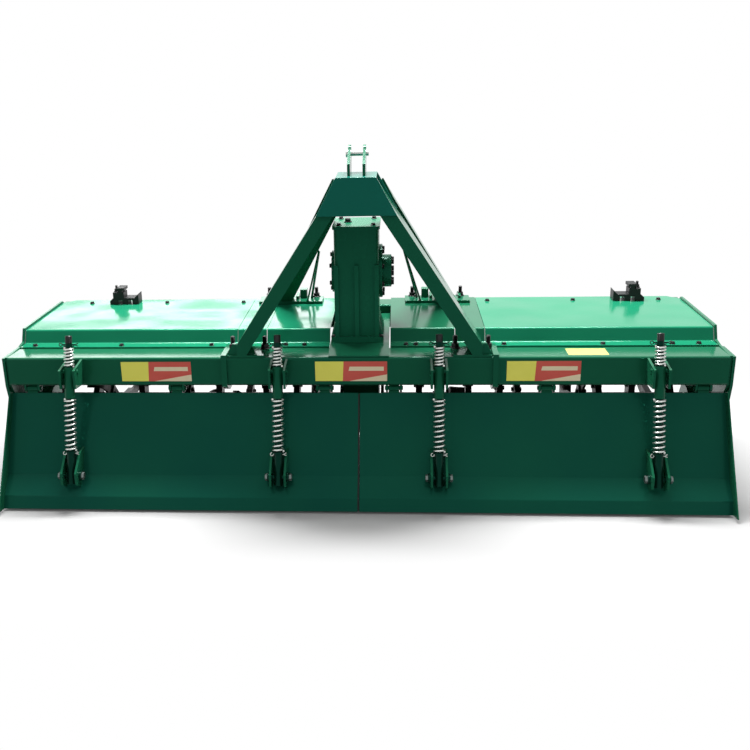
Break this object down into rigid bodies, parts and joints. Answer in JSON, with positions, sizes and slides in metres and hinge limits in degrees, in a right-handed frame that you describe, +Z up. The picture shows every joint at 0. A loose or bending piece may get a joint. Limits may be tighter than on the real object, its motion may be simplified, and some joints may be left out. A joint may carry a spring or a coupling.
{
  "type": "rotary tiller",
  "caption": "Tractor-mounted rotary tiller with a centre-drive gearbox, three-point mast, hooded tine rotor and sprung trailing boards on guide rods.",
  "frame": {"origin": "on the ground under the middle of the machine's overall box", "axes": "+X to the right seen from behind, +Y forward to the tractor, +Z up"},
  "size_m": [2.7, 1.062, 1.284],
  "materials": {
    "green_paint": "glossy dark green enamel",
    "green_casting": "dark green enamel on castings",
    "black_paint": "black paint",
    "bare_steel": "zinc plated",
    "rod_steel": "dark green enamel, bare tip",
    "spring_steel": "bright wound wire",
    "tine_steel": "dark forged steel"
  },
  "bodies": {
    "frame": {"rear_beam_center": "green_paint", "rear_beam_left": "green_paint", "rear_beam_right": "green_paint", "front_beam": "green_paint", "side_plate_left": "green_paint", "side_plate_right": "green_paint", "beam_end_caps": "green_paint", "skids": "black_paint", "frame_ribs": "green_paint", "hood_left": "green_paint", "hood_right": "green_paint", "hood_inner_left": "green_paint", "hood_inner_right": "green_paint", "hood_rails": "green_paint", "gearbox_case": "green_casting", "gearbox_cover": "green_casting", "gearbox_bed": "green_paint", "final_drive_case": "green_casting", "bearing_covers": "green_casting", "input_housing": "green_casting", "mast_leg_left": "green_paint", "mast_leg_right": "green_paint", "mast_cap": "green_paint", "top_link_ears": "green_paint", "top_link_pin": "bare_steel", "front_struts": "green_paint", "hitch_bracket_left": "green_paint", "hitch_bracket_right": "green_paint", "hitch_pins": "bare_steel", "front_clamps": "black_paint", "rotor_bearings": "green_casting", "hinge_lugs": "green_paint", "rod_brackets": "green_paint"},
    "rotor": {"rotor_shaft": "black_paint", "tine_holders": "black_paint", "tines_left_bent": "tine_steel", "tines_right_bent": "tine_steel"},
    "input": {"input_shaft": "bare_steel"},
    "trailing_board_left": {"board_left": "green_paint", "board_fittings_left": "green_paint"},
    "trailing_board_right": {"board_right": "green_paint", "board_fittings_right": "green_paint"},
    "guide_left_inner": {"sleeve_left_inner": "green_paint", "upper_spring_left_inner": "spring_steel"},
    "spring_rod_left_inner": {"rod_left_inner": "rod_steel", "main_spring_left_inner": "spring_steel"},
    "guide_left_outer": {"sleeve_left_outer": "green_paint", "upper_spring_left_outer": "spring_steel"},
    "spring_rod_left_outer": {"rod_left_outer": "rod_steel", "main_spring_left_outer": "spring_steel"},
    "guide_right_inner": {"sleeve_right_inner": "green_paint", "upper_spring_right_inner": "spring_steel"},
    "spring_rod_right_inner": {"rod_right_inner": "rod_steel", "main_spring_right_inner": "spring_steel"},
    "guide_right_outer": {"sleeve_right_outer": "green_paint", "upper_spring_right_outer": "spring_steel"},
    "spring_rod_right_outer": {"rod_right_outer": "rod_steel", "main_spring_right_outer": "spring_steel"}
  },
  "joints": [
    {"name": "rotor_spin", "type": "hinge", "parent": "frame", "child": "rotor", "pos_m": [0, 0.047, 0.245], "axis": [-1, 0, 0], "continuous": true},
    {"name": "input_spin", "type": "hinge", "parent": "frame", "child": "input", "pos_m": [-0.01, 0.217, 0.8], "axis": [0, 1, 0], "continuous": true},
    {"name": "board_left_lift", "type": "hinge", "parent": "frame", "child": "trailing_board_left", "pos_m": [0, -0.248, 0.405], "axis": [-1, 0, 0], "range_deg": [0, 30], "stiffness_Nm_per_rad": 600},
    {"name": "board_right_lift", "type": "hinge", "parent": "frame", "child": "trailing_board_right", "pos_m": [0, -0.248, 0.405], "axis": [-1, 0, 0], "range_deg": [0, 30], "stiffness_Nm_per_rad": 600},
    {"name": "guide_left_inner_swing", "type": "hinge", "parent": "frame", "child": "guide_left_inner", "pos_m": [-0.293, -0.348, 0.503], "axis": [-1, 0, 0], "range_deg": [0, 26.5]},
    {"name": "rod_left_inner_slide", "type": "slide", "parent": "guide_left_inner", "child": "spring_rod_left_inner", "axis": [0, 0.2577, 0.9662], "range_m": [0, 0.07], "deforming": ["main_spring_left_inner"]},
    {"name": "guide_left_outer_swing", "type": "hinge", "parent": "frame", "child": "guide_left_outer", "pos_m": [-1.07, -0.348, 0.503], "axis": [-1, 0, 0], "range_deg": [0, 26.5]},
    {"name": "rod_left_outer_slide", "type": "slide", "parent": "guide_left_outer", "child": "spring_rod_left_outer", "axis": [0, 0.2577, 0.9662], "range_m": [0, 0.07], "deforming": ["main_spring_left_outer"]},
    {"name": "guide_right_inner_swing", "type": "hinge", "parent": "frame", "child": "guide_right_inner", "pos_m": [0.293, -0.348, 0.503], "axis": [-1, 0, 0], "range_deg": [0, 26.5]},
    {"name": "rod_right_inner_slide", "type": "slide", "parent": "guide_right_inner", "child": "spring_rod_right_inner", "axis": [0, 0.2577, 0.9662], "range_m": [0, 0.07], "deforming": ["main_spring_right_inner"]},
    {"name": "guide_right_outer_swing", "type": "hinge", "parent": "frame", "child": "guide_right_outer", "pos_m": [1.07, -0.348, 0.503], "axis": [-1, 0, 0], "range_deg": [0, 26.5]},
    {"name": "rod_right_outer_slide", "type": "slide", "parent": "guide_right_outer", "child": "spring_rod_right_outer", "axis": [0, 0.2577, 0.9662], "range_m": [0, 0.07], "deforming": ["main_spring_right_outer"]}
  ],
  "couplings": [
    {"joint": "input_spin", "follows": "rotor_spin", "ratio": 2.6},
    {"joint": "guide_left_inner_swing", "follows": "board_left_lift", "ratio": 0.87688},
    {"joint": "rod_left_inner_slide", "follows": "board_left_lift", "m_per_rad": 0.13154},
    {"joint": "guide_left_outer_swing", "follows": "board_left_lift", "ratio": 0.87688},
    {"joint": "rod_left_outer_slide", "follows": "board_left_lift", "m_per_rad": 0.13154},
    {"joint": "guide_right_inner_swing", "follows": "board_right_lift", "ratio": 0.87688},
    {"joint": "rod_right_inner_slide", "follows": "board_right_lift", "m_per_rad": 0.13154},
    {"joint": "guide_right_outer_swing", "follows": "board_right_lift", "ratio": 0.87688},
    {"joint": "rod_right_outer_slide", "follows": "board_right_lift", "m_per_rad": 0.13154}
  ]
}
